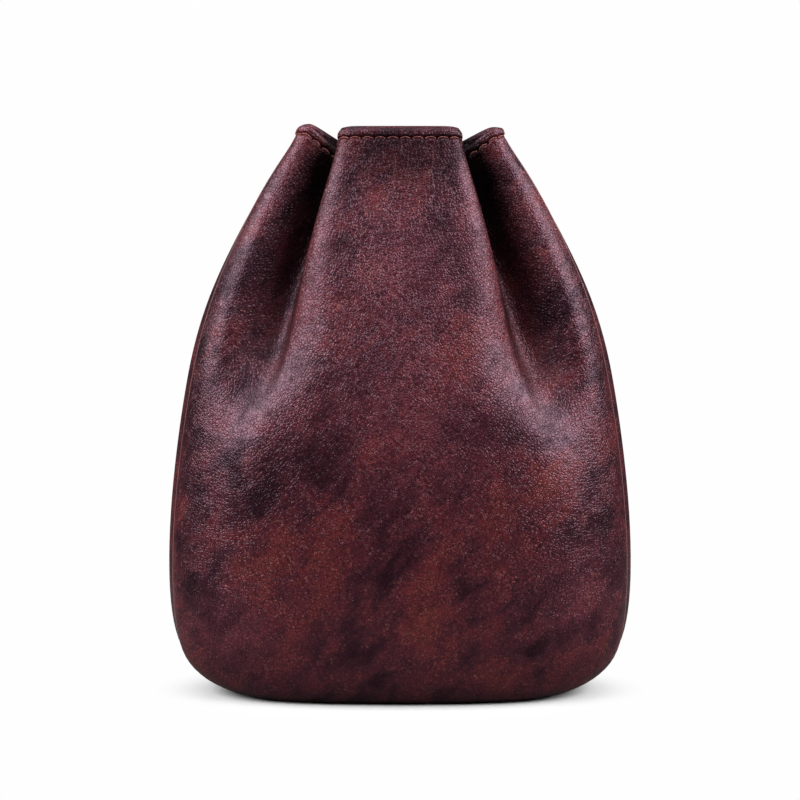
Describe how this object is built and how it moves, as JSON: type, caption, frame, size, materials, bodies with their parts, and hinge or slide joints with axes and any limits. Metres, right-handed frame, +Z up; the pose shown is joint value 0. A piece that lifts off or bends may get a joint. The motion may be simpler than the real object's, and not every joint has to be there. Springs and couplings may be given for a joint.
{
  "type": "pleated leather pouch",
  "caption": "Small standing leather pouch, sewn from a front and a back panel, its mouth drawn in by deep pleats to a flat tab between two wings",
  "frame": {"origin": "the middle of the base, on the surface that the pouch stands on", "axes": "+Z up to the mouth, the front faces -Y, +X to the right seen from the front"},
  "size_m": [0.1296, 0.065, 0.1583],
  "materials": {
    "oxblood_leather": "marbled pull-up leather with a soft waxy sheen"
  },
  "bodies": {
    "root": {"front_panel": "oxblood_leather", "back_panel": "oxblood_leather"}
  },
  "joints": []
}
